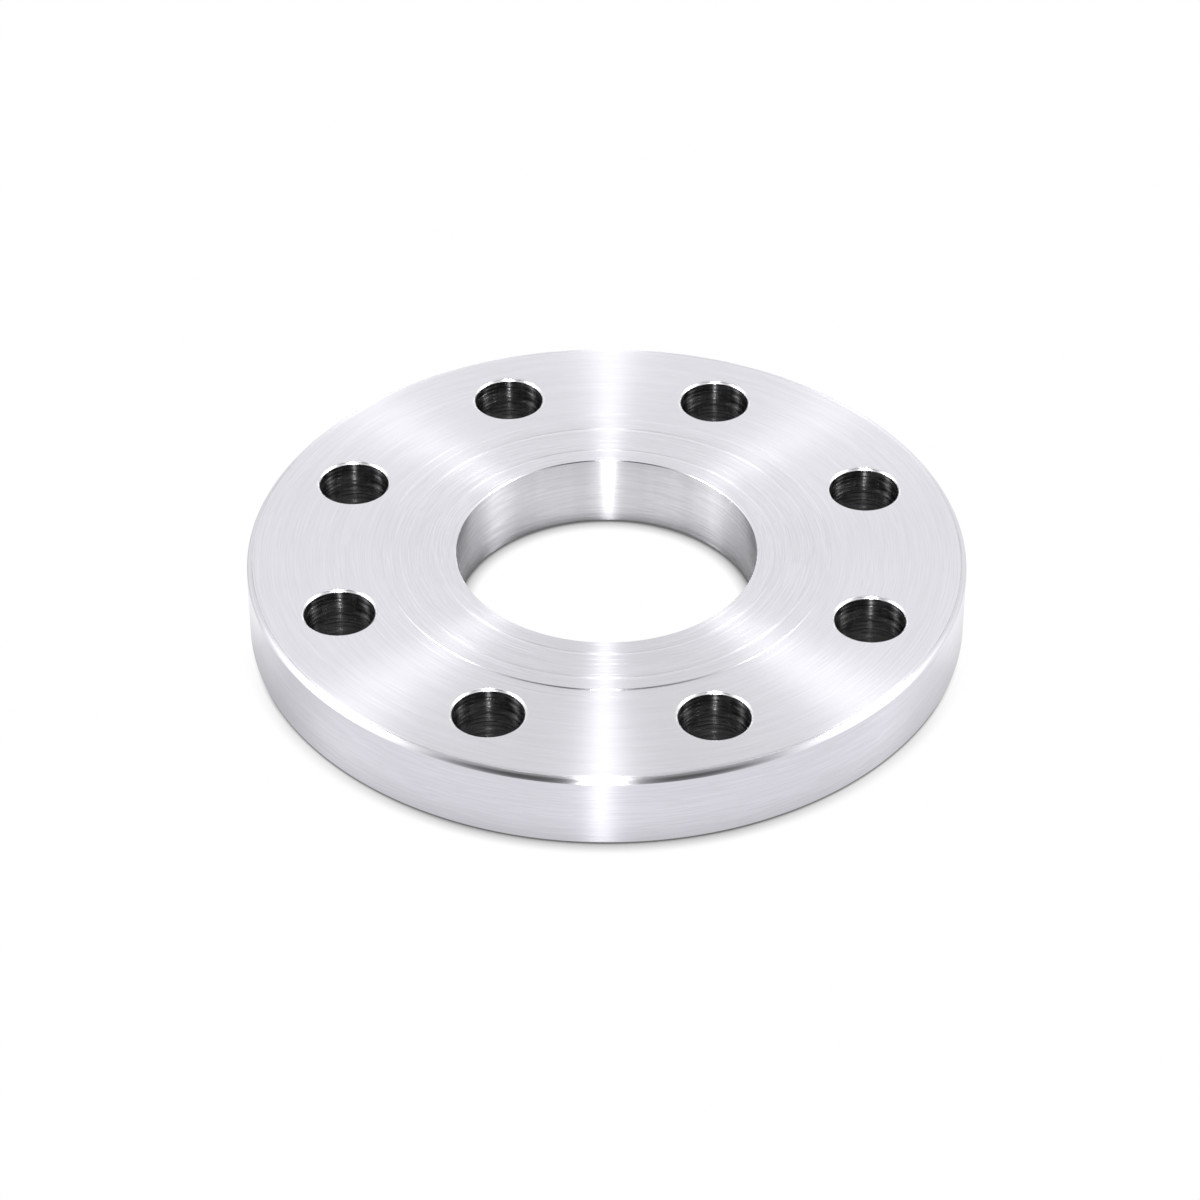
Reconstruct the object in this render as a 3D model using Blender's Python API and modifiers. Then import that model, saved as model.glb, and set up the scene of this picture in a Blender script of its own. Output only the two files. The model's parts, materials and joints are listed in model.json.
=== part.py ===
"""Slip-on plate flange for a DN 65 steel pipe, turned and drilled from one piece.

Metres, +Z up. The origin is at the centre of the back face, and +Z runs along the
bore towards the seating face, so the flange lies on its back with its seating face up.
Run with: blender --background --python part.py
"""

import math

import bpy

# Pipe and bore
PIPE_DIAMETER = 0.0761
PIPE_CLEARANCE = 0.0007
BORE_CHAMFER = 0.0002

# Bolt holes
BOLT_COUNT = 8
BOLT_CIRCLE_DIAMETER = 0.145
BOLT_HOLE_DIAMETER = 0.018
BOLT_HOLE_CHAMFER = 0.0006

# Plate
THICKNESS = 0.020
RIM_LAND = 0.011
RIM_CHAMFER = 0.0013
BACK_EDGE_BREAK = 0.0005

# Raised seating face and the sealing rings turned into it
SEATING_STEP = 0.0002
SEATING_STEP_SLOPE = 0.0005
SEATING_TO_HOLES = 0.0055
RING_COUNT = 2
RING_WIDTH = 0.0008
RING_DEPTH = 0.0001

# Facets round each turned surface
BODY_STEPS = 128
HOLE_STEPS = 48

# What follows from the sizes above
BORE_RADIUS = PIPE_DIAMETER / 2 + PIPE_CLEARANCE
BOLT_CIRCLE_RADIUS = BOLT_CIRCLE_DIAMETER / 2
BOLT_HOLE_RADIUS = BOLT_HOLE_DIAMETER / 2
OUTER_RADIUS = BOLT_CIRCLE_RADIUS + BOLT_HOLE_RADIUS + RIM_LAND
SEATING_RADIUS = BOLT_CIRCLE_RADIUS - BOLT_HOLE_RADIUS - SEATING_TO_HOLES
PLATE_TOP = THICKNESS - SEATING_STEP


def clear_scene():
    """Remove every object that the new scene starts with."""
    for obj in list(bpy.data.objects):
        bpy.data.objects.remove(obj, do_unlink=True)


def new_collection(name):
    """Return a new collection linked to the scene."""
    collection = bpy.data.collections.new(name)
    bpy.context.scene.collection.children.link(collection)
    return collection


def turned_steel():
    """Bright steel as it leaves the lathe."""
    material = bpy.data.materials.new("turned_steel")
    material.use_nodes = True
    shader = material.node_tree.nodes["Principled BSDF"]
    shader.inputs["Base Color"].default_value = (0.72, 0.72, 0.74, 1.0)
    shader.inputs["Metallic"].default_value = 1.0
    shader.inputs["Roughness"].default_value = 0.3
    return material


def ring_section():
    """Corners of the V-shaped sealing rings, from the bore outwards.

    The seating face is shared out evenly, with a ring in the middle of each share.
    """
    share = (SEATING_RADIUS - BORE_RADIUS) / RING_COUNT
    corners = []
    for index in range(RING_COUNT):
        centre = BORE_RADIUS + share * (index + 0.5)
        corners.append((centre - RING_WIDTH / 2, THICKNESS))
        corners.append((centre, THICKNESS - RING_DEPTH))
        corners.append((centre + RING_WIDTH / 2, THICKNESS))
    return corners


def body_section():
    """Half section of the flange as (radius, height) corners.

    It runs down the rim, in along the back, up the bore and out along the front.
    """
    rim = [
        (OUTER_RADIUS - RIM_CHAMFER, PLATE_TOP),
        (OUTER_RADIUS, PLATE_TOP - RIM_CHAMFER),
        (OUTER_RADIUS, BACK_EDGE_BREAK),
        (OUTER_RADIUS - BACK_EDGE_BREAK, 0.0),
    ]
    bore = [
        (BORE_RADIUS + BACK_EDGE_BREAK, 0.0),
        (BORE_RADIUS, BACK_EDGE_BREAK),
        (BORE_RADIUS, THICKNESS - BORE_CHAMFER),
        (BORE_RADIUS + BORE_CHAMFER, THICKNESS),
    ]
    step = [
        (SEATING_RADIUS - SEATING_STEP_SLOPE, THICKNESS),
        (SEATING_RADIUS, PLATE_TOP),
    ]
    return rim + bore + ring_section() + step


def hole_section():
    """Half section of a bolt hole's cutter, flared at both ends for the chamfers.

    The flares run on past the faces, so the cutter is longer than the plate.
    """
    overrun = BOLT_HOLE_CHAMFER
    mouth = BOLT_HOLE_RADIUS + BOLT_HOLE_CHAMFER + overrun
    return [
        (0.0, PLATE_TOP + overrun),
        (mouth, PLATE_TOP + overrun),
        (BOLT_HOLE_RADIUS, PLATE_TOP - BOLT_HOLE_CHAMFER),
        (BOLT_HOLE_RADIUS, BOLT_HOLE_CHAMFER),
        (mouth, -overrun),
        (0.0, -overrun),
    ]


def section_mesh(name, corners, closed):
    """Make a mesh of edges along a half section in the XZ plane."""
    vertices = [(radius, 0.0, height) for radius, height in corners]
    edges = [(index, index + 1) for index in range(len(corners) - 1)]
    if closed:
        edges.append((len(corners) - 1, 0))
    mesh = bpy.data.meshes.new(name)
    mesh.from_pydata(vertices, edges, [])
    return mesh


def add_turning(obj, steps):
    """Turn an object's half section once round the Z axis."""
    screw = obj.modifiers.new("Turning", "SCREW")
    screw.axis = "Z"
    screw.angle = math.tau
    screw.steps = steps
    screw.render_steps = steps
    screw.use_smooth_shade = True
    screw.use_merge_vertices = True
    screw.merge_threshold = 0.00001


def make_hole_cutters(collection):
    """Place one cutter in each bolt hole, with the pattern astride the X and Y axes."""
    mesh = section_mesh("bolt_hole_section", hole_section(), closed=False)
    pitch_angle = math.tau / BOLT_COUNT
    for index in range(BOLT_COUNT):
        angle = pitch_angle * (index + 0.5)
        cutter = bpy.data.objects.new(f"bolt_hole_cutter_{index + 1}", mesh)
        cutter.location.x = BOLT_CIRCLE_RADIUS * math.cos(angle)
        cutter.location.y = BOLT_CIRCLE_RADIUS * math.sin(angle)
        cutter.rotation_euler.z = angle
        cutter.hide_render = True
        cutter.display_type = "WIRE"
        collection.objects.link(cutter)
        add_turning(cutter, HOLE_STEPS)


def make_flange(collection, cutters):
    """Turn the body, drill the bolt holes and even out the shading at its edges."""
    mesh = section_mesh("flange", body_section(), closed=True)
    mesh.materials.append(turned_steel())
    flange = bpy.data.objects.new("flange", mesh)
    collection.objects.link(flange)
    add_turning(flange, BODY_STEPS)

    drilling = flange.modifiers.new("Bolt holes", "BOOLEAN")
    drilling.operation = "DIFFERENCE"
    drilling.solver = "EXACT"
    drilling.operand_type = "COLLECTION"
    drilling.collection = cutters

    shading = flange.modifiers.new("Face shading", "WEIGHTED_NORMAL")
    shading.mode = "FACE_AREA"


def main():
    clear_scene()
    parts = new_collection("slip_on_flange")
    cutters = new_collection("cutters")
    make_hole_cutters(cutters)
    make_flange(parts, cutters)


main()
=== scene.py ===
"""Looks of a slip-on plate flange: its turned, bored and drilled surfaces, and a small studio.

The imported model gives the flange's place and its outside sizes. The body is turned from a
half section, drilled, and given its surfaces; everything is in metres, with +Z up.
"""

import json
import math
import random

import bmesh
import bpy
from bpy.props import FloatProperty, FloatVectorProperty, IntProperty, PointerProperty
from bpy.types import Operator, Panel, PropertyGroup
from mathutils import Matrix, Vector


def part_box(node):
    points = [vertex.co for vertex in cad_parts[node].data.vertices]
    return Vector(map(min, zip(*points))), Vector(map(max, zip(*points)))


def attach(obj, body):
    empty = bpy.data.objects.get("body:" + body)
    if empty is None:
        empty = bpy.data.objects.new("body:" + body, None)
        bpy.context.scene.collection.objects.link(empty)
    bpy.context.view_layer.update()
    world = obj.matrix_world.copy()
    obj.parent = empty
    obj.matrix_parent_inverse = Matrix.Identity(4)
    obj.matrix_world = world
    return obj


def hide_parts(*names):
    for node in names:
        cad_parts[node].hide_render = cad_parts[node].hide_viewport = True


bl_info = {
    "name": "Slip-on flange",
    "version": (1, 0, 0),
    "blender": (4, 5, 0),
    "location": "3D View > Sidebar > Flange",
    "description": "Builds a turned steel slip-on flange and the studio it is shown in",
    "category": "Object",
}

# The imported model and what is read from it
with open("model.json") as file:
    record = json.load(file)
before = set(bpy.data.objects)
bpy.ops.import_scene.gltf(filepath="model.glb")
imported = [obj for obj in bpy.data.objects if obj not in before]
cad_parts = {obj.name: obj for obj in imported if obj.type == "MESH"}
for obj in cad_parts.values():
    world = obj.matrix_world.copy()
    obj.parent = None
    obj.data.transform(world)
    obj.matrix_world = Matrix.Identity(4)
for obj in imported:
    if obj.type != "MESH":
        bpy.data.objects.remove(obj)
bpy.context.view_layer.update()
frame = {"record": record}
FLANGE_LOW, FLANGE_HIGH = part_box("flange")
OPENINGS = {entry["name"]: entry["box_m"] for entry in frame["record"]["physics"]["openings"]}
HOLE_BOXES = [OPENINGS[name] for name in sorted(OPENINGS) if name.startswith("bolt_hole")]


def box_centre(corners):
    """Middle of a box given by its lowest and highest corners."""
    low, high = corners
    return Vector([(a + b) / 2 for a, b in zip(low, high)])


HOLE_CENTRES = [box_centre(box) for box in HOLE_BOXES]
BOLT_CIRCLE_RADIUS = sum(c.xy.length for c in HOLE_CENTRES) / len(HOLE_CENTRES)


# Settings


def length_setting(name, description, default):
    """A length in metres that a user can change."""
    return FloatProperty(name=name, description=description, default=default, unit="LENGTH")


def colour_setting(name, description, default):
    """A colour that a user can change."""
    return FloatVectorProperty(
        name=name,
        description=description,
        default=default,
        subtype="COLOR",
        size=3,
        min=0.0,
        max=1.0,
    )


class FlangeSizes(PropertyGroup):
    """Sizes of the flange's section and of its holes."""

    outer_diameter: length_setting(
        "Outside diameter", "Across the rim", FLANGE_HIGH.x - FLANGE_LOW.x
    )
    thickness: length_setting(
        "Thickness", "From the back face to the seating face", FLANGE_HIGH.z - FLANGE_LOW.z
    )
    bore_diameter: length_setting("Bore", "Across the bore that the pipe passes through", 0.0775)
    seating_diameter: length_setting(
        "Seating face", "Across the lightly raised seating face, at its foot", 0.116
    )
    seating_step: length_setting(
        "Seating step", "How far the seating face stands above the rest of the front", 0.0002
    )
    seating_slope: length_setting(
        "Step slope", "Width of the slope that leads up to the seating face", 0.0005
    )
    rim_chamfer: length_setting("Rim chamfer", "Chamfer between the front and the rim", 0.0013)
    back_break: length_setting("Back edges", "Broken edges round the back face", 0.0005)
    bore_chamfer: length_setting(
        "Bore chamfer", "Chamfer between the seating face and the bore", 0.0002
    )
    hole_diameter: length_setting("Bolt holes", "Across each bolt hole", 0.018)
    hole_chamfer: length_setting(
        "Hole chamfer", "Chamfer round both mouths of each bolt hole", 0.0006
    )
    # The lip's slope catches real light; its lighter colour adds a painted highlight
    hole_lip: length_setting(
        "Hole lip", "Width of the burnished lip round each bolt hole's chamfer", 0.00012
    )
    # The edge line is a narrow facet whose dark grey colour is painted shade, for the thin dark line
    # where the front meets the rim's chamfer
    edge_line: length_setting(
        "Edge line", "Width of the dull line between the front and the rim's chamfer", 0.0001
    )
    edge_radius: length_setting(
        "Edge radius", "How softly the edges between the faces are rounded", 0.00012
    )


class ToolMarks(PropertyGroup):
    """The sealing rings, the marks that the tools leave, and the facets round the turned faces."""

    ring_count: IntProperty(
        name="Sealing rings",
        description="Rings turned into the seating face",
        default=2,
        min=1,
    )
    ring_width: length_setting("Ring width", "Width of each sealing ring", 0.0008)
    ring_depth: length_setting("Ring depth", "Depth of each sealing ring", 0.00006)
    mark_width: length_setting(
        "Tool mark width", "Width of the widest scattered tool mark", 0.0003
    )
    mark_depth: length_setting(
        "Tool mark depth", "Depth of the deepest scattered tool mark", 0.00001
    )
    feed_pitch: length_setting(
        "Drill feed", "Distance between the feed grooves in a bolt hole's wall", 0.0012
    )
    feed_depth: length_setting(
        "Feed groove depth", "Depth of the feed grooves in a bolt hole's wall", 0.00004
    )
    sides: IntProperty(
        name="Facets",
        description="Facets round the flange",
        default=384,
        min=32,
    )
    hole_sides: IntProperty(
        name="Hole facets",
        description="Facets round each bolt hole",
        default=64,
        min=16,
    )


class SteelColours(PropertyGroup):
    """Colours of the steel's surfaces, with painted shade on the hole walls and the edge line at the
    rim's chamfer, and a painted highlight on the hole lips.
    """

    turned: colour_setting(
        "Turned steel", "Front, back, tool marks and turned chamfers", (0.775, 0.768, 0.815)
    )
    rim: colour_setting("Rim", "Turned steel of the rim", (0.762, 0.75, 0.815))
    bored: colour_setting("Bored steel", "Wall of the bore", (0.705, 0.697, 0.732))
    # Painted shade: the bolt holes' walls are coloured dark for the shade inside the holes
    drilled: colour_setting("Drilled steel", "Walls of the bolt holes", (0.3, 0.3, 0.31))
    chamfered: colour_setting(
        "Hole chamfer", "Chamfers at the mouths of the bolt holes", (0.56, 0.555, 0.58)
    )
    # Painted highlight: lighter than the turned steel so the lips shine brighter, on top of the
    # light their slope catches
    lip: colour_setting("Hole lip", "Burnished lips round the bolt holes", (0.82, 0.815, 0.84))
    # Painted shade: dark grey for the thin dark line where the front meets the rim's chamfer
    edge: colour_setting(
        "Edge line", "Fine line where the front meets the rim's chamfer", (0.5, 0.5, 0.51)
    )


class StudioSettings(PropertyGroup):
    """Floor and camera."""

    floor_size: length_setting("Floor", "Side of the floor under the flange", 3.0)
    camera_elevation: FloatProperty(
        name="Camera elevation",
        description="Height of the camera above the horizon",
        default=math.radians(37.72),
        subtype="ANGLE",
    )
    camera_turn: FloatProperty(
        name="Camera turn",
        description="Turn of the camera about the bore, from square on",
        default=math.radians(1.19),
        subtype="ANGLE",
    )
    camera_distance: length_setting(
        "Camera distance", "From the camera to the point it looks at", 1.0733
    )
    lens: FloatProperty(
        name="Lens",
        description="Focal length in millimetres on a 36 mm wide sensor",
        default=127.03,
    )


# Half sections
#
# A corner of a section is (radius, height, kind). Kind is "round" for a corner that gets a
# small arc, "soft" for one that only shades smoothly, and "crisp" for one that stays sharp.

# Steps in a small arc, and how far along a face it may reach, as a share of the face
ARC_STEPS = 3
LONGEST_REACH = 0.45

# Scattered tool marks of each turned surface: their usual spacing, their greatest depth as a
# share of the deepest mark, and the seed of their random draws
TOOL_MARKS = {
    "rim": {"spacing": 0.003, "depth_share": 0.1, "seed": 3},
    "front": {"spacing": 0.0025, "depth_share": 0.4, "seed": 5},
    "seating_face": {"spacing": 0.0017, "depth_share": 0.4, "seed": 7},
    "bore": {"spacing": 0.003, "depth_share": 0.1, "seed": 11},
}

# Limits of the random draws for a scattered mark: where the first one lies and how far off the
# next one, as shares of the spacing, and its width and depth as shares of the greatest. The
# power makes most marks shallow, and two marks are at least this many widths apart
FIRST_PLACE = (0.4, 1.0)
NEXT_PLACE = (0.4, 1.6)
MARK_WIDTHS = (0.5, 1.0)
MARK_DEPTHS = (0.1, 1.0)
SHALLOW_POWER = 1.5
WIDTHS_APART = 1.3

# A sealing ring across, as shares of its width and depth
RING_SHAPE = ((-0.5, 0.0), (-0.25, 0.5), (0.0, 1.0), (0.25, 0.5), (0.5, 0.0))

# The step up to the seating face, as shares of its slope's width, inwards, and of its height
STEP_SHAPE = ((0.0, 0.0), (0.42, 0.1), (0.5, 0.5), (0.58, 0.9), (1.0, 1.0))

# Slopes in degrees of the rim's chamfer, from the rim up to the front
CHAMFER_SLOPES = (60, 54, 47, 40, 33, 26)

# The facet of the painted shade line falls by this share of its width, and inside it the front
# rolls off slightly: distances inwards and down from the front, in metres
EDGE_LINE_FALL = 0.8
EDGE_ROLL = ((0.0, 0.000017), (0.0007, 0.000004), (0.0015, 0.0))

# Height of a bolt hole's lip as a share of its width, and where the first feed groove starts
# and how long each one takes to reach its depth, as shares of the drill's feed
LIP_FALL = 0.14
FEED_START = 0.3
FEED_RISE = 0.2

# Corners and vertices are matched to the nearest micrometre
MATCH_DIGITS = 6


def plate_height(sizes):
    """Height of the front outside the seating face."""
    return sizes.thickness - sizes.seating_step


def chamfer_top(sizes):
    """Radius and height of the place where the rim's chamfer meets the painted shade line."""
    radius = sizes.outer_diameter / 2 - sizes.rim_chamfer
    return radius, plate_height(sizes) - sizes.edge_line * EDGE_LINE_FALL


def rounded(corners, radius):
    """Points of a closed section whose round corners are small arcs of the given radius."""
    points = []
    count = len(corners)
    for index, (r, z, kind) in enumerate(corners):
        if kind != "round":
            points.append((r, z))
            continue
        here = Vector((r, z))
        before = Vector(corners[index - 1][:2]) - here
        after = Vector(corners[(index + 1) % count][:2]) - here
        bend = math.pi - before.angle(after)
        reach = radius * math.tan(bend / 2)
        reach = min(reach, before.length * LONGEST_REACH, after.length * LONGEST_REACH)
        start = here + before.normalized() * reach
        end = here + after.normalized() * reach
        for step in range(ARC_STEPS + 1):
            t = step / ARC_STEPS
            points.append(tuple(start * (1 - t) ** 2 + here * 2 * t * (1 - t) + end * t ** 2))
    return points


def v_groove(centre, width, depth):
    """One V-shaped groove: places along the surface, depths below it and kinds."""
    half = width / 2
    return [(centre - half, 0.0, "crisp"), (centre, depth, "crisp"), (centre + half, 0.0, "crisp")]


def sealing_ring(centre, width, depth):
    """One sealing ring: a V whose shoulders and bottom shade softly."""
    return [(centre + width * across, depth * down, "soft") for across, down in RING_SHAPE]


def scattered_grooves(surface, start, end, marks, keep_clear=()):
    """Shallow tool marks of unlike widths, scattered along a surface from start to end.

    keep_clear holds places that stay free of marks, each with its reach to either side.
    """
    spacing = TOOL_MARKS[surface]["spacing"]
    depth_share = TOOL_MARKS[surface]["depth_share"]
    draw = random.Random(TOOL_MARKS[surface]["seed"])
    grooves = []
    place = start + spacing * draw.uniform(*FIRST_PLACE)
    while place < end - marks.mark_width:
        width = marks.mark_width * draw.uniform(*MARK_WIDTHS)
        depth = marks.mark_depth * depth_share * draw.uniform(*MARK_DEPTHS) ** SHALLOW_POWER
        if all(abs(place - other) > reach for other, reach in keep_clear):
            grooves.append(v_groove(place, width, depth))
        place += max(width * WIDTHS_APART, spacing * draw.uniform(*NEXT_PLACE))
    return grooves


def rolled_chamfer(low, high):
    """Corners between the ends of a chamfer that starts steeply and rolls over towards its top."""
    (low_r, low_z), (high_r, high_z) = low, high
    slopes = [math.radians(degrees) for degrees in CHAMFER_SLOPES]
    run = (high_r - low_r) / sum(math.cos(slope) for slope in slopes)
    rise = (high_z - low_z) / sum(math.sin(slope) for slope in slopes)
    corners = []
    r, z = low_r, low_z
    for slope in slopes[:-1]:
        r += run * math.cos(slope)
        z += rise * math.sin(slope)
        corners.append((r, z, "soft"))
    return corners


def rim_corners(sizes, marks):
    """The rim, from its back edge up to the top of its chamfer."""
    outer = sizes.outer_diameter / 2
    shoulder = plate_height(sizes) - sizes.rim_chamfer
    top = chamfer_top(sizes)
    corners = [(outer - sizes.back_break, 0.0, "round"), (outer, sizes.back_break, "round")]
    for groove in scattered_grooves("rim", sizes.back_break, shoulder, marks):
        corners += [(outer - depth, z, kind) for z, depth, kind in groove]
    corners.append((outer, shoulder, "round"))
    return corners + rolled_chamfer((outer, shoulder), top) + [(*top, "soft")]


def front_corners(sizes, marks):
    """The front outside the seating face, from the painted shade line in to the foot of the step."""
    plate = plate_height(sizes)
    edge = chamfer_top(sizes)[0] - sizes.edge_line
    corners = [(edge - inwards, plate - down, "soft") for inwards, down in EDGE_ROLL]
    start = sizes.seating_diameter / 2 + sizes.seating_slope
    end = edge - EDGE_ROLL[-1][0]
    hole_reach = sizes.hole_diameter / 2 + sizes.hole_chamfer + sizes.hole_lip * 2
    clear_of_holes = [(BOLT_CIRCLE_RADIUS, hole_reach + marks.mark_width)]
    for groove in reversed(scattered_grooves("front", start, end, marks, clear_of_holes)):
        corners += [(r, plate - depth, kind) for r, depth, kind in reversed(groove)]
    return corners


def seating_corners(sizes, marks):
    """The step up to the seating face, and that face with its sealing rings, in to the bore."""
    plate = plate_height(sizes)
    seat = sizes.seating_diameter / 2
    bore = sizes.bore_diameter / 2
    corners = [
        (seat - sizes.seating_slope * across, plate + sizes.seating_step * up, "soft")
        for across, up in STEP_SHAPE
    ]
    share = (seat - bore) / marks.ring_count
    rings = [bore + share * (index + 0.5) for index in range(marks.ring_count)]
    clear_of_rings = [(place, marks.ring_width + marks.mark_width) for place in rings]
    start = bore + sizes.bore_chamfer
    end = seat - sizes.seating_slope * 2
    grooves = scattered_grooves("seating_face", start, end, marks, clear_of_rings)
    grooves += [sealing_ring(place, marks.ring_width, marks.ring_depth) for place in rings]
    grooves.sort(key=lambda groove: -groove[0][0])
    for groove in grooves:
        corners += [(r, sizes.thickness - depth, kind) for r, depth, kind in reversed(groove)]
    return corners


def bore_corners(sizes, marks):
    """The bore, from its front chamfer down to the back face."""
    bore = sizes.bore_diameter / 2
    mouth = sizes.thickness - sizes.bore_chamfer
    corners = [(bore + sizes.bore_chamfer, sizes.thickness, "round"), (bore, mouth, "round")]
    for groove in reversed(scattered_grooves("bore", sizes.back_break, mouth, marks)):
        corners += [(bore + depth, z, kind) for z, depth, kind in reversed(groove)]
    return corners + [(bore, sizes.back_break, "round"), (bore + sizes.back_break, 0.0, "round")]


def body_section(sizes, marks):
    """Half section of the flange, from the back of the rim round to the back of the bore.

    The second result is the set of its crisp corners.
    """
    corners = rim_corners(sizes, marks) + front_corners(sizes, marks)
    corners += seating_corners(sizes, marks) + bore_corners(sizes, marks)
    crisp = {
        (round(r, MATCH_DIGITS), round(z, MATCH_DIGITS)) for r, z, kind in corners if kind == "crisp"
    }
    return rounded(corners, sizes.edge_radius), crisp


def drill_section(sizes, marks):
    """Half section of the drill: a bolt hole with its feed grooves, its chamfers and their lips."""
    radius = sizes.hole_diameter / 2
    chamfer = sizes.hole_chamfer
    lip = sizes.hole_lip
    soft = sizes.edge_radius
    plate = plate_height(sizes)
    fall = lip * LIP_FALL
    # A mouth as (radius, depth below the face): its lip, its slightly hollow chamfer, and the
    # eased edge between the chamfer and the wall
    mouth = [
        (radius + chamfer + lip * 2, -fall),
        (radius + chamfer + soft * 0.5, fall * 0.9),
        (radius + chamfer - soft * 0.6, fall + soft * 0.8),
        (radius + chamfer * 0.4, chamfer * 0.42),
        (radius + soft * 0.3, chamfer - soft * 0.3),
        (radius, chamfer + soft),
    ]
    wall = []
    start = chamfer + soft + marks.feed_pitch * FEED_START
    for index in range(int((plate - start * 2) / marks.feed_pitch)):
        place = start + marks.feed_pitch * index
        crest = place + marks.feed_pitch * FEED_RISE
        wall += [(radius, place), (radius + marks.feed_depth, crest)]
    return mouth + wall + [(r, plate - z) for r, z in reversed(mouth)]


# Turning and drilling

# Vertices closer than the first are merged, and those of a level edge differ by less than the
# second in height
MERGE_DISTANCE = 0.0000005
LEVEL_WITHIN = 0.000001

# How strongly the large faces decide the shading at an edge
LARGE_FACE_WEIGHT = 80


def deselect_all():
    """Leave object mode with nothing selected."""
    if bpy.context.object and bpy.context.object.mode != "OBJECT":
        bpy.ops.object.mode_set(mode="OBJECT")
    bpy.ops.object.select_all(action="DESELECT")


def select_only(thing):
    """Make one object the only one that is selected, and the active one."""
    deselect_all()
    thing.select_set(True)
    bpy.context.view_layer.objects.active = thing


def sweep_section(name, section, sides, closed):
    """Turn a half section: a circle is extruded and resized from corner to corner.

    A closed section ends where it starts, and an open one is capped at both ends.
    """
    deselect_all()
    radius, height = section[0]
    bpy.ops.mesh.primitive_circle_add(
        vertices=sides,
        radius=radius,
        fill_type="NOTHING" if closed else "NGON",
        location=(0, 0, height),
    )
    turned = bpy.context.object
    turned.name = name
    turned.data.name = name
    bpy.ops.object.mode_set(mode="EDIT")
    bpy.ops.mesh.select_all(action="SELECT")
    for next_radius, next_height in section[1:]:
        bpy.ops.mesh.extrude_region_move(
            TRANSFORM_OT_translate={"value": (0, 0, next_height - height)}
        )
        ratio = next_radius / radius
        bpy.ops.transform.resize(value=(ratio, ratio, 1), center_override=(0, 0, 0))
        radius, height = next_radius, next_height
    if closed:
        bridge_ends(turned)
    bpy.ops.mesh.select_all(action="SELECT")
    bpy.ops.mesh.remove_doubles(threshold=MERGE_DISTANCE)
    bpy.ops.mesh.normals_make_consistent(inside=False)
    bpy.ops.object.mode_set(mode="OBJECT")
    bpy.ops.object.transform_apply(location=True, rotation=True, scale=True)
    return turned


def bridge_ends(turned):
    """Bridge the last circle of a sweep to its first one, across the flange's back."""
    mesh = bmesh.from_edit_mesh(turned.data)
    for edge in mesh.edges:
        edge.select = False
    for edge in mesh.edges:
        if len(edge.link_faces) == 1:
            edge.select = True
    mesh.select_flush_mode()
    bmesh.update_edit_mesh(turned.data)
    bpy.ops.mesh.bridge_edge_loops()


def mark_sharp_where(body, is_crisp):
    """Mark the edges that pass a test as sharp, so the grooves keep their shading."""
    select_only(body)
    bpy.ops.object.mode_set(mode="EDIT")
    bpy.ops.mesh.select_mode(type="EDGE")
    mesh = bmesh.from_edit_mesh(body.data)
    for edge in mesh.edges:
        edge.select = is_crisp(*edge.verts)
    bmesh.update_edit_mesh(body.data)
    bpy.ops.mesh.mark_sharp()
    bpy.ops.mesh.select_mode(type="VERT")
    bpy.ops.object.mode_set(mode="OBJECT")


def mark_turned_edges(body, crisp):
    """Mark the circles at the section's crisp corners as sharp."""

    def corner(vertex):
        return round(vertex.co.xy.length, MATCH_DIGITS), round(vertex.co.z, MATCH_DIGITS)

    def is_crisp(one, other):
        return corner(one) == corner(other) and corner(one) in crisp

    mark_sharp_where(body, is_crisp)


def mark_feed_edges(body, sizes, marks):
    """Mark the circles of the drill's feed grooves as sharp."""
    reach = sizes.hole_diameter / 2 + marks.feed_depth * 1.5
    low = sizes.hole_chamfer + sizes.edge_radius * 1.5
    high = plate_height(sizes) - low

    def is_crisp(one, other):
        level = abs(one.co.z - other.co.z) < LEVEL_WITHIN and low < one.co.z < high
        return level and any((one.co.xy - c.xy).length < reach for c in HOLE_CENTRES)

    mark_sharp_where(body, is_crisp)


def drill_holes(body, sizes, marks):
    """Cut every bolt hole, with its chamfers, out of the body."""
    drill = sweep_section("drill", drill_section(sizes, marks), marks.hole_sides, closed=False)
    cutters = []
    for centre in HOLE_CENTRES:
        select_only(drill)
        bpy.ops.object.duplicate(linked=False)
        cutter = bpy.context.object
        cutter.location = (centre.x, centre.y, 0)
        bpy.ops.object.transform_apply(location=True, rotation=False, scale=False)
        cutters.append(cutter)
    bpy.data.objects.remove(drill, do_unlink=True)
    select_only(cutters[0])
    for cutter in cutters:
        cutter.select_set(True)
    bpy.ops.object.join()
    drills = bpy.context.object

    select_only(body)
    cut = body.modifiers.new("Bolt holes", "BOOLEAN")
    cut.operation = "DIFFERENCE"
    cut.solver = "EXACT"
    cut.object = drills
    bpy.ops.object.modifier_apply(modifier=cut.name)
    bpy.data.objects.remove(drills, do_unlink=True)


def soften_shading(body):
    """Smooth shading that keeps the flat faces flat and lets only the small arcs turn."""
    select_only(body)
    bpy.ops.object.shade_smooth()
    weighted = body.modifiers.new("Face shading", "WEIGHTED_NORMAL")
    weighted.mode = "FACE_AREA"
    weighted.weight = LARGE_FACE_WEIGHT
    weighted.keep_sharp = True
    bpy.ops.object.modifier_apply(modifier=weighted.name)


# Materials

WHITE = (1, 1, 1, 1)

# Straight up, and the factors that leave only the level part of a place
UPWARDS = (0.0, 0.0, 1.0)
LEVEL_PART = (1.0, 1.0, 0.0)

# How each layer of noise in the turning marks is stretched: round the turn, and along the feed
MIDDLE_STRETCH = (1.4, 1.4, 0.62)
BROAD_STRETCH = (0.7, 0.7, 0.08)
SCRATCH_STRETCH = (2.4, 2.4, 0.85)

# The range that this noise mostly keeps to
NOISE_LOW = 0.36
NOISE_HIGH = 0.64

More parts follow.
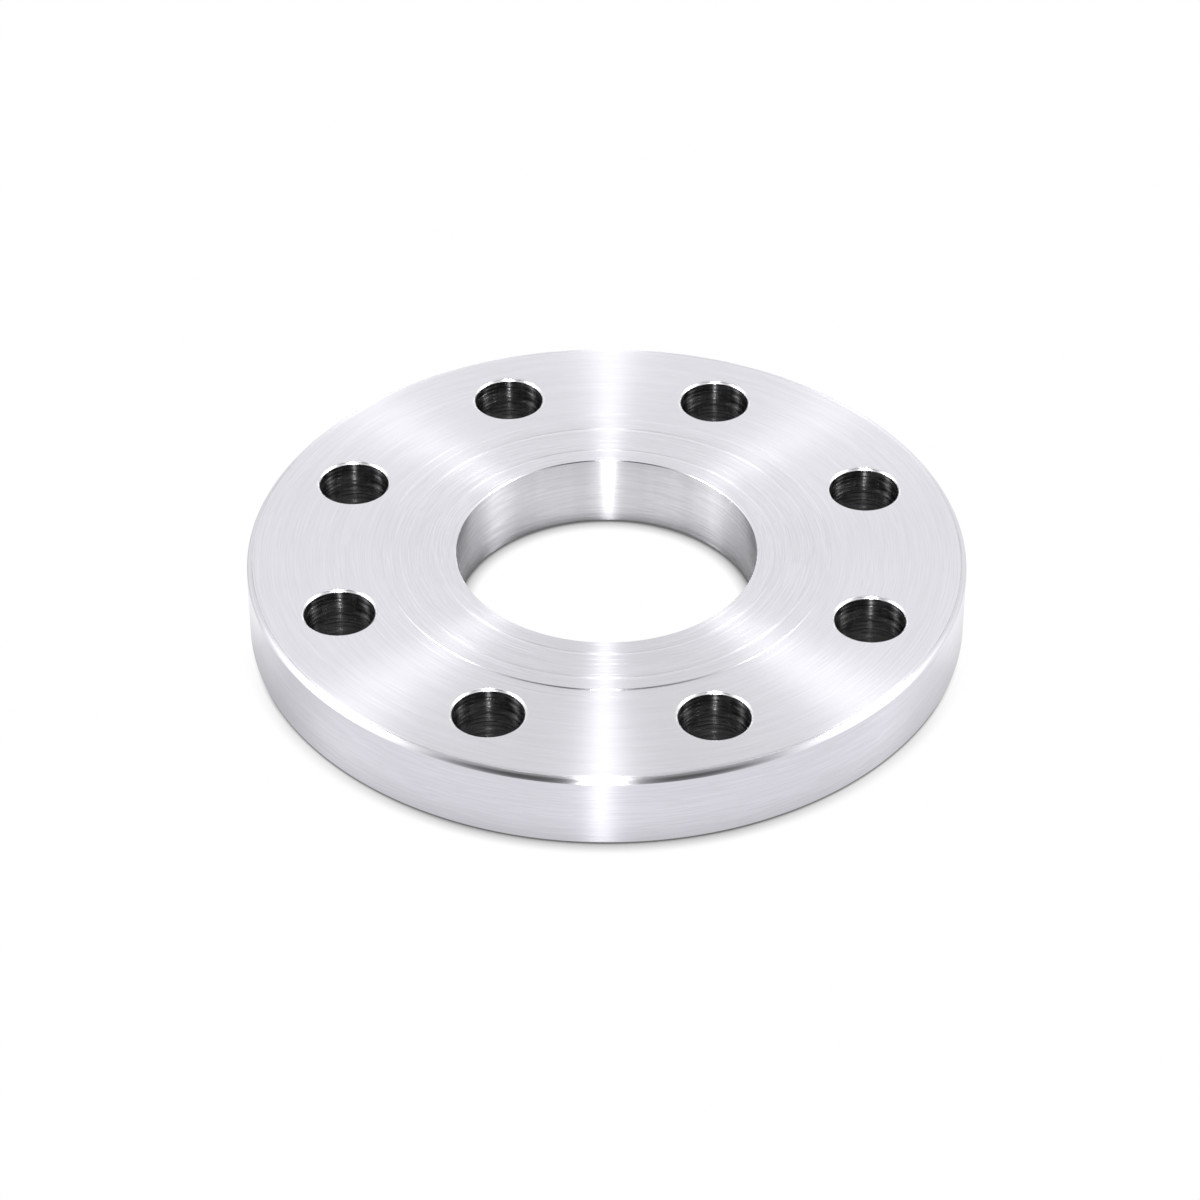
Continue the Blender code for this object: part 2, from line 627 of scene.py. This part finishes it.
# Ramps are (from low, from high, to low, to high). This one picks out the few darkest scratches
SCRATCH_RAMP = (0.58, 0.68, 0.0, 1.0)

# Where a separate tool mark fades, and the noise steps per metre that make each fade elsewhere
FADE_RAMP = (0.44, 0.56, 1.0, 0.0)
FADE_STEPS = 900.0

# How much the bore's chatter darkens and brightens its wall
CHATTER_RAMP = (0.38, 0.62, -0.2, 0.2)

# How much of the feed is counted along the height, beside the whole of it along the radius
HEIGHT_FEED = 0.8


class Tree:
    """Shorthand for adding and linking the nodes of one tree."""

    def __init__(self, tree):
        self.tree = tree

    def link(self, value, socket):
        """Link an output to an input."""
        self.tree.links.new(value, socket)

    def add(self, kind, settings=None, inputs=None):
        """Add a node, set its options, and fill or link its inputs."""
        node = self.tree.nodes.new(kind)
        for name, value in (settings or {}).items():
            setattr(node, name, value)
        for key, value in (inputs or {}).items():
            socket = node.inputs[key]
            if isinstance(value, bpy.types.NodeSocket):
                self.link(value, socket)
            else:
                socket.default_value = value
        return node

    def math(self, operation, first, second=0.0, third=0.0):
        """One math node's result."""
        node = self.add("ShaderNodeMath", {"operation": operation}, {0: first, 1: second, 2: third})
        return node.outputs[0]

    def vector(self, operation, first, second=(0.0, 0.0, 0.0)):
        """One vector math node's result."""
        node = self.add("ShaderNodeVectorMath", {"operation": operation}, {0: first, 1: second})
        return node.outputs["Value" if operation in ("LENGTH", "DOT_PRODUCT") else "Vector"]

    def scaled(self, vector, factor):
        """A vector times a number."""
        node = self.add("ShaderNodeVectorMath", {"operation": "SCALE"}, {0: vector, "Scale": factor})
        return node.outputs["Vector"]

    def combined(self, **parts):
        """A vector put together from its X, Y and Z."""
        return self.add("ShaderNodeCombineXYZ", inputs=parts).outputs[0]

    def noise(self, place, detail):
        """Noise between 0 and 1 at a place."""
        node = self.add(
            "ShaderNodeTexNoise",
            {"noise_dimensions": "3D"},
            {"Vector": place, "Scale": 1.0, "Detail": detail, "Roughness": 0.5},
        )
        return node.outputs["Fac"]

    def ranged(self, value, low, high, to_low, to_high, smooth=False):
        """A value led up one ramp: moved from one range to another and kept within it."""
        kind = "SMOOTHSTEP" if smooth else "LINEAR"
        node = self.add(
            "ShaderNodeMapRange",
            {"interpolation_type": kind},
            {"Value": value, 1: low, 2: high, 3: to_low, 4: to_high},
        )
        return node.outputs["Result"]

    def stacked(self, value, ramps):
        """The sum of several ramps of one value."""
        total = self.ranged(value, *ramps[0])
        for ramp in ramps[1:]:
            total = self.math("ADD", total, self.ranged(value, *ramp))
        return total

    def mixed(self, factor, first, second):
        """The first number where the factor is 0, and the second where it is 1."""
        return self.add("ShaderNodeMix", inputs={0: factor, 2: first, 3: second}).outputs[0]

    def openness(self, distance, samples):
        """How open a surface is to what lies within a distance: 0 is closed in, 1 is open."""
        node = self.add("ShaderNodeAmbientOcclusion", {"samples": samples}, {"Distance": distance})
        return node.outputs["AO"]

    def seen_and_mirrored(self, seen, mirrored, output_kind):
        """End the tree in one shader for what the camera sees and another for all other rays."""
        rays = self.add("ShaderNodeLightPath").outputs
        mix = self.add(
            "ShaderNodeMixShader",
            inputs={0: rays["Is Camera Ray"], 1: mirrored.outputs[0], 2: seen.outputs[0]},
        )
        self.link(mix.outputs[0], self.add(output_kind).inputs["Surface"])


def new_group(name, inputs, outputs):
    """A shader node group with named inputs and outputs: its tree, what comes in and goes out."""
    group = bpy.data.node_groups.new(name, "ShaderNodeTree")
    for socket_name, socket_type, value in inputs:
        socket = group.interface.new_socket(socket_name, in_out="INPUT", socket_type=socket_type)
        if value is not None:
            socket.default_value = value
    for socket_name in outputs:
        group.interface.new_socket(socket_name, in_out="OUTPUT", socket_type="NodeSocketFloat")
    tree = Tree(group)
    source = tree.add("NodeGroupInput")
    result = tree.add("NodeGroupOutput")
    return tree, source.outputs, result.inputs


def turning_marks_group():
    """Fine lines that run round an axis: a height for bumps and masks of dull and bright lines.

    Feed is how far the tool has travelled, and Position is measured from the axis.
    """
    tree, source, result = new_group(
        "Turning marks",
        [
            ("Position", "NodeSocketVector", None),
            ("Feed", "NodeSocketFloat", 0.0),
            ("Lines per metre", "NodeSocketFloat", 2600.0),
            ("Breaks per turn", "NodeSocketFloat", 1.5),
        ],
        ["Height", "Lines", "Streaks"],
    )
    outward = tree.vector("NORMALIZE", tree.vector("MULTIPLY", source["Position"], LEVEL_PART))
    around = tree.scaled(outward, source["Breaks per turn"])
    along = tree.math("MULTIPLY", source["Feed"], source["Lines per metre"])
    place = tree.vector("ADD", around, tree.combined(Z=along))
    fine = tree.noise(place, 0.0)
    middle = tree.noise(tree.vector("MULTIPLY", place, MIDDLE_STRETCH), 1.0)
    broad = tree.noise(tree.vector("MULTIPLY", place, BROAD_STRETCH), 0.0)
    scratched = tree.noise(tree.vector("MULTIPLY", place, SCRATCH_STRETCH), 0.0)
    scratch = tree.ranged(scratched, *SCRATCH_RAMP)
    # The height bumps the surface, the lines dull it and the streaks shade it
    height = tree.math("MULTIPLY_ADD", middle, 0.4, tree.math("MULTIPLY", fine, 0.3))
    height = tree.math("MULTIPLY_ADD", scratch, -0.5, height)
    lines = tree.math("MULTIPLY_ADD", middle, 0.5, tree.math("MULTIPLY", fine, 0.5))
    streaks = tree.math("MULTIPLY_ADD", broad, 0.2, tree.math("MULTIPLY", lines, 0.8))
    streaks = tree.math("MULTIPLY_ADD", scratch, -0.3, streaks)
    tree.link(height, result["Height"])
    tree.link(lines, result["Lines"])
    tree.link(streaks, result["Streaks"])
    return tree.tree


def steel_material(name, finish, colour, marks_group):
    """Bright steel with fine lines round an axis and a sheen stretched across them."""
    material = bpy.data.materials.new(name)
    material.use_nodes = True
    tree = Tree(material.node_tree)
    shader = material.node_tree.nodes["Principled BSDF"]
    place = tree.add("ShaderNodeTexCoord").outputs["Object"]
    normal = tree.add("ShaderNodeNewGeometry").outputs["Normal"]
    if finish.get("about_hole"):
        place = from_nearest_hole(tree, place)
    flat = tree.vector("MULTIPLY", place, LEVEL_PART)
    sideways = tree.vector("CROSS_PRODUCT", UPWARDS, tree.vector("NORMALIZE", flat))
    across = tree.vector("CROSS_PRODUCT", sideways, normal)
    tree.link(tree.vector("NORMALIZE", across), shader.inputs["Tangent"])

    height = tree.add("ShaderNodeSeparateXYZ", inputs={0: place}).outputs["Z"]
    feed = tree.math("MULTIPLY_ADD", height, HEIGHT_FEED, tree.vector("LENGTH", flat))
    marks = tree.add(
        "ShaderNodeGroup",
        {"node_tree": marks_group},
        {
            "Position": place,
            "Feed": feed,
            "Lines per metre": finish["lines"],
            "Breaks per turn": finish["breaks"],
        },
    )
    bump = tree.add(
        "ShaderNodeBump",
        inputs={"Strength": 1.0, "Distance": finish["depth"], "Height": marks.outputs["Height"]},
    )
    tree.link(bump.outputs[0], shader.inputs["Normal"])
    low = finish["roughness"] * (1 - finish["spread"])
    high = finish["roughness"] * (1 + finish["spread"])
    dullness = tree.ranged(marks.outputs["Lines"], NOISE_LOW, NOISE_HIGH, low, high)
    tree.link(dullness, shader.inputs["Roughness"])

    paler = tree.ranged(marks.outputs["Streaks"], NOISE_LOW, NOISE_HIGH, 0.0, 1.0)
    if finish.get("fades"):
        turn = tree.scaled(tree.vector("NORMALIZE", flat), finish["fades"])
        ring = tree.combined(Z=tree.math("MULTIPLY", feed, FADE_STEPS))
        slow = tree.noise(tree.vector("ADD", turn, ring), 0.0)
        paler = tree.math("MAXIMUM", paler, tree.ranged(slow, *FADE_RAMP, smooth=True))
    if finish.get("bands"):
        turn = tree.scaled(tree.vector("NORMALIZE", flat), finish["bands"])
        chatter = tree.ranged(tree.noise(turn, 1.0), *CHATTER_RAMP)
        paler = tree.math("ADD", paler, chatter)
    tint = tree.add(
        "ShaderNodeMix",
        {"data_type": "RGBA"},
        {
            "Factor": paler,
            "A": [channel * (1 - finish["shade"]) for channel in colour] + [1.0],
            "B": [*colour, 1.0],
        },
    )
    tree.link(tint.outputs["Result"], shader.inputs["Base Color"])
    shader.inputs["Metallic"].default_value = 1.0
    shader.inputs["Anisotropic"].default_value = finish["anisotropy"]
    return material


def from_nearest_hole(tree, place):
    """Turn a place on the flange into one measured from the nearest bolt hole's axis."""
    parts = tree.add("ShaderNodeSeparateXYZ", inputs={0: place}).outputs
    pitch = math.tau / len(HOLE_CENTRES)
    angle = tree.math("ARCTAN2", parts["Y"], parts["X"])
    whole = tree.math("FLOOR", tree.math("DIVIDE", angle, pitch))
    nearest = tree.math("MULTIPLY", tree.math("ADD", whole, 0.5), pitch)
    centre = tree.combined(
        X=tree.math("MULTIPLY", tree.math("COSINE", nearest), BOLT_CIRCLE_RADIUS),
        Y=tree.math("MULTIPLY", tree.math("SINE", nearest), BOLT_CIRCLE_RADIUS),
    )
    return tree.vector("SUBTRACT", place, centre)


# Each finish: its colour, its roughness and how far that spreads, how far its sheen is
# stretched (anisotropy), its lines per metre of feed and their breaks per turn, the depth of
# its marks in metres, and how much they shade the colour. "fades" is how often in a turn the
# shade of a separate tool mark fades, "bands" how often the bore's faint chatter changes, and
# "about_hole" says that its lines run round the nearest bolt hole instead of the bore.
FINISHES = {
    "turned_face": dict(
        colour="turned", roughness=0.21, spread=0.05, anisotropy=1.0,
        lines=5000.0, breaks=3.0, depth=0.000002, shade=0.065,
    ),
    "seating_face": dict(
        colour="turned", roughness=0.21, spread=0.04, anisotropy=1.0,
        lines=4600.0, breaks=3.0, depth=0.000003, shade=0.085,
    ),
    "turned_rim": dict(
        colour="rim", roughness=0.155, spread=0.04, anisotropy=1.0,
        lines=3600.0, breaks=5.0, depth=0.000003, shade=0.065,
    ),
    "bored_wall": dict(
        colour="bored", roughness=0.215, spread=0.08, anisotropy=1.0,
        lines=3400.0, breaks=2.0, depth=0.000006, shade=0.12, bands=7.0,
    ),
    # Painted shade: dark colour for the shade inside the bolt holes
    "drilled_wall": dict(
        colour="drilled", roughness=0.2, spread=0.25, anisotropy=1.0,
        lines=2600.0, breaks=1.2, depth=0.000005, shade=0.45, about_hole=True,
    ),
    "tool_mark": dict(
        colour="turned", roughness=0.26, spread=0.05, anisotropy=1.0,
        lines=2000.0, breaks=2.0, depth=0.000003, shade=0.1, fades=1.4,
    ),
    "cut_chamfer": dict(
        colour="turned", roughness=0.17, spread=0.12, anisotropy=0.8,
        lines=3000.0, breaks=3.0, depth=0.000002, shade=0.05,
    ),
    "hole_chamfer": dict(
        colour="chamfered", roughness=0.38, spread=0.1, anisotropy=0.3,
        lines=3000.0, breaks=3.0, depth=0.000002, shade=0.05, about_hole=True,
    ),
    # Painted highlight: a lighter colour on the lips, beside the real light that their slope catches
    "hole_lip": dict(
        colour="lip", roughness=0.25, spread=0.1, anisotropy=0.5,
        lines=3000.0, breaks=3.0, depth=0.000002, shade=0.05, about_hole=True,
    ),
    # Painted shade: the dark grey line between the front and the rim's chamfer
    "edge_line": dict(
        colour="edge", roughness=0.4, spread=0.2, anisotropy=0.0,
        lines=1500.0, breaks=6.0, depth=0.000002, shade=0.3,
    ),
}

# How level a face lies, from 0 for a wall to 1 for the front, where one finish gives way to
# the next
FLAT_FRONT = 0.9995
FLAT_BESIDE_MARK = 0.99985
LIP_ABOVE = 0.9
FACE_ABOVE = 0.8
CHAMFER_ABOVE = 0.25

# Slack where faces are told apart by their place, and depth of the band that the painted shade line
# is in
HAIR = 0.00002
EDGE_BAND = 0.0002


def finish_of(face, sizes, marks):
    """Name of the finish that a face gets, told by its place and by how level it lies."""
    outer = sizes.outer_diameter / 2
    bore = sizes.bore_diameter / 2
    seat = sizes.seating_diameter / 2
    hole = sizes.hole_diameter / 2
    plate = plate_height(sizes)
    brow = outer - sizes.rim_chamfer
    height = face.center.z
    radius = face.center.xy.length
    level = abs(face.normal.z)
    from_hole = min((face.center.xy - centre.xy).length for centre in HOLE_CENTRES)

    in_wall = sizes.hole_chamfer < height < plate - sizes.hole_chamfer
    # Bolt hole walls, coloured dark as painted shade
    if from_hole < hole + marks.feed_depth + HAIR and in_wall:
        return "drilled_wall"
    if from_hole < hole + sizes.hole_chamfer + sizes.hole_lip + HAIR and level < FLAT_FRONT:
        return "hole_lip" if level > LIP_ABOVE else "hole_chamfer"
    # The narrow facet at the top of the rim's chamfer, painted dark as shade
    at_brow = brow - sizes.edge_line < radius < brow + HAIR and height > plate - EDGE_BAND
    if at_brow and level < FLAT_FRONT:
        return "edge_line"
    if level > FACE_ABOVE and outer > radius > bore:
        in_front = height > plate / 2
        on_step = seat - HAIR > radius > seat - sizes.seating_slope
        if level < FLAT_BESIDE_MARK and in_front and not on_step:
            return "tool_mark"
        return "seating_face" if radius < seat and height > plate else "turned_face"
    if level > CHAMFER_ABOVE:
        return "cut_chamfer"
    return "turned_rim" if radius > (outer + bore) / 2 else "bored_wall"


def paint_body(body, sizes, marks, colours):
    """Give each face the finish of the tool that cut it, with painted shade on the hole walls and
    the edge line at the rim's chamfer, and a painted highlight on the hole lips.
    """
    marks_group = turning_marks_group()
    for name, finish in FINISHES.items():
        colour = tuple(getattr(colours, finish["colour"]))
        body.data.materials.append(steel_material(name, finish, colour, marks_group))
    names = list(FINISHES)
    for face in body.data.polygons:
        face.material_index = names.index(finish_of(face, sizes, marks))


class FLANGE_OT_body(Operator):
    """Turn, bore and drill the flange and give its surfaces their finishes"""

    bl_idname = "flange.body"
    bl_label = "Flange body"

    def execute(self, context):
        sizes = context.scene.flange_sizes
        marks = context.scene.flange_marks
        colours = context.scene.flange_colours
        section, crisp = body_section(sizes, marks)
        body = sweep_section("flange_body", section, marks.sides, closed=True)
        mark_turned_edges(body, crisp)
        drill_holes(body, sizes, marks)
        mark_feed_edges(body, sizes, marks)
        paint_body(body, sizes, marks, colours)
        soften_shading(body)
        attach(body, "root")
        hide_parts("flange")
        return {"FINISHED"}


# Studio

# The floor lies this far under the flange, and its shading takes the rim to be this much nearer
FLOOR_GAP = 0.0001
RIM_SLACK = 0.001

# The middle of the flange, at which the lamps are aimed
LAMP_TARGET = (0, 0, 0.01)

# Lamps: azimuth and elevation in degrees, distance, width and height in metres, and brightness
LAMPS = {
    "left_softbox": (183, 34, 1.3, 0.28, 0.71, 28.0),
    "right_softbox": (2, 34, 1.3, 0.28, 0.71, 33.0),
    "overhead_strip": (269.7, 52, 1.4, 0.042, 1.8, 82.0),
    "front_strip": (269.7, 14, 1.4, 0.12, 0.6, 80.0),
    "back_panel": (90, 18, 0.55, 0.5, 0.12, 0.9),
}

# Soft round patches in the white surroundings: azimuth and elevation, the angles up to which a
# patch is full and beyond which it is gone, all in degrees, and how much light it adds or takes
SKY_PATCHES = {
    "left": (180, 32, 8, 38, 0.58),
    "round_the_camera": (270, 46, 14, 63, -0.94),
    "high_at_the_back": (90, 66, 3, 27, -0.4),
    "right": (0, 32, 8, 38, 0.48),
}

# How far round a spot on the table its openness is measured, and with how many rays
SHADOW_REACH, SHADOW_RAYS = 0.005, 16
MIRROR_REACH, MIRROR_RAYS = 0.01, 8

# Ramps of the table's shade by its openness: the dark crease under the rim, the soft shadow,
# and what the steel mirrors inside the bore, inside the holes and outside the flange
CREASE_RAMP = (0.47, 0.55, 0.35, 1.0)
SHADOW_RAMP = (0.5, 0.925, 0.48, 1.0)
BORE_RAMP = (0.44, 0.82, 0.06, 1.0)
HOLE_RAMP = (0.3, 1.0, 0.02, 0.25)
OUTSIDE_RAMP = (0.5, 0.97, 0.69, 0.92)

# Ramps by how far a spot lies to one side, from 0 in front to 1 at the side: how the shadow and
# the crease fade, how the bore darkens, and how the table brightens at its left and right
SHADOW_FADES = ((0.84, 0.985, 0.0, 0.5), (0.35, 0.75, 0.0, 0.5))
CREASE_FADES = ((0.9, 0.99, 0.0, 1.0),)
BORE_SIDES = (0.3, 0.62, 1.0, 0.72)
LEFT_LIGHT = ((0.72, 0.9, 1.0, 0.84), (0.93, 0.98, 0.0, 0.12), (0.98, 0.999, 0.0, 0.25))
RIGHT_LIGHT = ((0.96, 0.998, 0.0, 0.2),)

# The bore's part of the table, as a share of the bolt circle's radius
BORE_SHARE = 0.7

# Width of the camera's sensor in millimetres
SENSOR_WIDTH = 36

# Point at the front's height that an unturned camera looks at, in metres from the bore's axis
AIM_RIGHT = -0.001715
AIM_AWAY = -0.021325


def direction_to(azimuth, elevation):
    """Unit vector towards a place in the surroundings, given in degrees."""
    azimuth, elevation = math.radians(azimuth), math.radians(elevation)
    flat = math.cos(elevation)
    return Vector((flat * math.cos(azimuth), flat * math.sin(azimuth), math.sin(elevation)))


def add_lamp(name, azimuth, elevation, distance, width, height, radiance):
    """A rectangular lamp that faces the flange, with the given brightness of its surface."""
    light = bpy.data.lights.new(name, "AREA")
    light.shape = "RECTANGLE"
    light.size = width
    light.size_y = height
    light.energy = radiance * width * height * math.pi
    lamp = bpy.data.objects.new(name, light)
    bpy.context.scene.collection.objects.link(lamp)
    lamp.location = direction_to(azimuth, elevation) * distance
    inwards = Vector(LAMP_TARGET) - lamp.location
    lamp.rotation_euler = inwards.to_track_quat("-Z", "Y").to_euler()
    lamp.visible_camera = False


def studio_world():
    """White tent: brighter to the left and right, darker round the camera and high at the back."""
    world = bpy.data.worlds.new("studio")
    bpy.context.scene.world = world
    world.use_nodes = True
    world.node_tree.nodes.clear()
    tree = Tree(world.node_tree)
    direction = tree.add("ShaderNodeTexCoord").outputs["Generated"]
    light = 1.0
    for azimuth, elevation, full, gone, change in SKY_PATCHES.values():
        nearness = tree.vector("DOT_PRODUCT", direction, direction_to(azimuth, elevation))
        edge, middle = math.cos(math.radians(gone)), math.cos(math.radians(full))
        patch = tree.ranged(nearness, edge, middle, 0.0, change, smooth=True)
        light = tree.math("ADD", patch, light)
    tent = tree.add("ShaderNodeBackground", inputs={"Color": WHITE, "Strength": light})
    white = tree.add("ShaderNodeBackground", inputs={"Color": WHITE, "Strength": 1.0})
    tree.seen_and_mirrored(white, tent, "ShaderNodeOutputWorld")


def side_light(tree, spot):
    """How the table's light varies round the flange: brightest at its two sides."""
    unit = tree.vector("NORMALIZE", spot)
    left = tree.vector("DOT_PRODUCT", unit, (-1.0, 0.0, 0.0))
    right = tree.vector("DOT_PRODUCT", unit, (1.0, 0.0, 0.0))
    return tree.math("ADD", tree.stacked(left, LEFT_LIGHT), tree.stacked(right, RIGHT_LIGHT))


def contact_shadow(tree, sideways, is_outside):
    """Shade of the table round the flange and inside it, which fades at the flange's two sides."""
    open_part = tree.openness(SHADOW_REACH, SHADOW_RAYS)
    shades = []
    for ramp, fades in ((SHADOW_RAMP, SHADOW_FADES), (CREASE_RAMP, CREASE_FADES)):
        lit = tree.math("MULTIPLY", tree.stacked(sideways, fades), is_outside)
        shades.append(tree.mixed(lit, tree.ranged(open_part, *ramp), 1.0))
    return tree.math("MULTIPLY", *shades)


def mirrored_table(tree, spot, sideways, is_outside, is_bore):
    """Brightness of the table as the steel mirrors it: round the flange, in its bore and holes."""
    open_part = tree.openness(MIRROR_REACH, MIRROR_RAYS)
    in_bore = tree.ranged(open_part, *BORE_RAMP)
    in_bore = tree.math("MULTIPLY", in_bore, tree.ranged(sideways, *BORE_SIDES))
    in_hole = tree.ranged(open_part, *HOLE_RAMP)
    outside = tree.ranged(open_part, *OUTSIDE_RAMP)
    outside = tree.math("MULTIPLY", outside, side_light(tree, spot))
    return tree.mixed(is_outside, tree.mixed(is_bore, in_hole, in_bore), outside)


def floor_material(rim_radius):
    """White table that glows, with a painted soft contact shadow under and inside the flange, and
    painted light and shade in the glow that the steel mirrors.
    """
    material = bpy.data.materials.new("white_floor")
    material.use_nodes = True
    material.node_tree.nodes.clear()
    tree = Tree(material.node_tree)
    spot = tree.add("ShaderNodeTexCoord").outputs["Object"]
    radius = tree.vector("LENGTH", spot)
    sideways = tree.vector("DOT_PRODUCT", tree.vector("NORMALIZE", spot), (1.0, 0.0, 0.0))
    sideways = tree.math("ABSOLUTE", sideways)
    is_outside = tree.math("GREATER_THAN", radius, rim_radius)
    is_bore = tree.math("LESS_THAN", radius, BOLT_CIRCLE_RADIUS * BORE_SHARE)
    shade = contact_shadow(tree, sideways, is_outside)
    shown = tree.add("ShaderNodeEmission", inputs={"Color": WHITE, "Strength": shade})
    mirrored = mirrored_table(tree, spot, sideways, is_outside, is_bore)
    glow = tree.add("ShaderNodeEmission", inputs={"Color": WHITE, "Strength": mirrored})
    tree.seen_and_mirrored(shown, glow, "ShaderNodeOutputMaterial")
    return material


def add_camera(studio, aim_height):
    """The camera, turned about the bore and raised, at its distance from the point it looks at."""
    camera = bpy.data.objects.new("camera", bpy.data.cameras.new("camera"))
    bpy.context.scene.collection.objects.link(camera)
    camera.data.lens = studio.lens
    camera.data.sensor_width = SENSOR_WIDTH
    turn = studio.camera_turn
    camera.location = (
        AIM_RIGHT * math.cos(turn) - AIM_AWAY * math.sin(turn),
        AIM_RIGHT * math.sin(turn) + AIM_AWAY * math.cos(turn),
        aim_height,
    )
    back = Vector(
        (
            math.sin(turn) * math.cos(studio.camera_elevation),
            -math.cos(turn) * math.cos(studio.camera_elevation),
            math.sin(studio.camera_elevation),
        )
    )
    camera.location += back * studio.camera_distance
    camera.rotation_euler = (math.pi / 2 - studio.camera_elevation, 0, turn)
    return camera


class FLANGE_OT_studio(Operator):
    """Add the floor, the lamps, the white surroundings and the camera"""

    bl_idname = "flange.studio"
    bl_label = "Studio"

    def execute(self, context):
        studio = context.scene.flange_studio
        sizes = context.scene.flange_sizes
        deselect_all()
        bpy.ops.mesh.primitive_plane_add(size=studio.floor_size, location=(0, 0, -FLOOR_GAP))
        floor = context.object
        floor.name = "floor"
        floor.data.materials.append(floor_material(sizes.outer_diameter / 2 - RIM_SLACK))
        bpy.ops.object.transform_apply(location=True, rotation=False, scale=False)

        for name, settings in LAMPS.items():
            add_lamp(name, *settings)
        studio_world()
        context.scene.camera = add_camera(studio, plate_height(sizes))
        context.scene.view_settings.view_transform = "Standard"
        return {"FINISHED"}


# The add-on

SETTINGS = {
    "flange_sizes": FlangeSizes,
    "flange_marks": ToolMarks,
    "flange_colours": SteelColours,
    "flange_studio": StudioSettings,
}


class FLANGE_PT_panel(Panel):
    """Lists the flange's sizes and the steps that build it"""

    bl_label = "Slip-on flange"
    bl_idname = "FLANGE_PT_panel"
    bl_space_type = "VIEW_3D"
    bl_region_type = "UI"
    bl_category = "Flange"

    def draw(self, context):
        layout = self.layout
        for group in SETTINGS:
            settings = getattr(context.scene, group)
            column = layout.column()
            for name in settings.bl_rna.properties.keys():
                if name not in ("rna_type", "name"):
                    column.prop(settings, name)
        layout.operator("flange.body")
        layout.operator("flange.studio")


CLASSES = (*SETTINGS.values(), FLANGE_OT_body, FLANGE_OT_studio, FLANGE_PT_panel)


def register():
    """Register the classes and give the scene its settings."""
    for cls in CLASSES:
        bpy.utils.register_class(cls)
    for name, group in SETTINGS.items():
        setattr(bpy.types.Scene, name, PointerProperty(type=group))


def unregister():
    """Take the settings and the classes away again."""
    for name in SETTINGS:
        delattr(bpy.types.Scene, name)
    for cls in reversed(CLASSES):
        bpy.utils.unregister_class(cls)


def main():
    """Build the flange and its studio."""
    register()
    bpy.ops.flange.body()
    bpy.ops.flange.studio()


if __name__ == "__main__":
    main()
